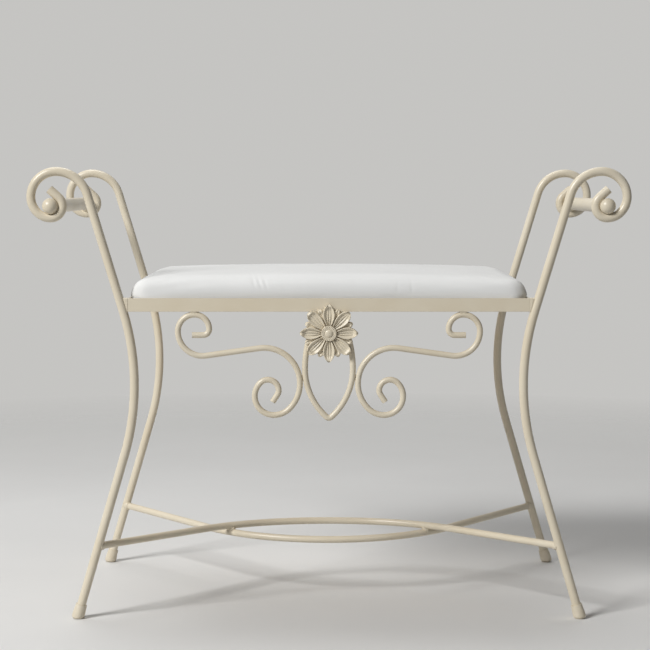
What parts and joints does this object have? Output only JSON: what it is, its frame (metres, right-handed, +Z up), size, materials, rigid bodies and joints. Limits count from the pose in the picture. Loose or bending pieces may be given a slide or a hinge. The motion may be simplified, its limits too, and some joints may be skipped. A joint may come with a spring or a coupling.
{
  "type": "wrought iron bench",
  "caption": "Wrought iron vanity bench: bar legs rise past a padded seat into scroll arms joined by arm bars, over a scrolled apron with a cast rosette and crossing stretchers.",
  "frame": {"origin": "on the floor under the middle of the bench", "axes": "+X to the right along the seat, +Y to the back, +Z up; the apron with the rosette faces -Y"},
  "size_m": [0.8064, 0.395, 0.6099],
  "materials": {
    "cream_paint": "cream enamel on steel bar, satin",
    "cream_casting": "cream enamel on a small casting, darker in the hollows",
    "ivory_plastic": "ivory moulded plastic",
    "plywood": "bare plywood",
    "foam": "open-cell foam",
    "white_cloth": "plain white woven cloth",
    "zinc_screws": "zinc plated"
  },
  "bodies": {
    "root": {"apron_drop": "cream_paint", "apron_welds": "cream_paint", "arm_welds": "cream_paint", "back_left_arm_cap": "cream_paint", "back_left_foot": "ivory_plastic", "back_left_leg": "cream_paint", "back_rail": "cream_paint", "back_right_arm_cap": "cream_paint", "back_right_foot": "ivory_plastic", "back_right_leg": "cream_paint", "back_stretcher": "cream_paint", "frame_welds": "cream_paint", "front_left_arm_cap": "cream_paint", "front_left_foot": "ivory_plastic", "front_left_leg": "cream_paint", "front_rail": "cream_paint", "front_right_arm_cap": "cream_paint", "front_right_foot": "ivory_plastic", "front_right_leg": "cream_paint", "front_stretcher": "cream_paint", "left_apron_scroll": "cream_paint", "left_arm_bar": "cream_paint", "left_rail": "cream_paint", "right_apron_scroll": "cream_paint", "right_arm_bar": "cream_paint", "right_rail": "cream_paint", "rosette": "cream_casting", "seat_board": "plywood", "seat_cover": "white_cloth", "seat_foam": "foam", "seat_screws": "zinc_screws", "stretcher_welds": "cream_paint"}
  },
  "joints": []
}
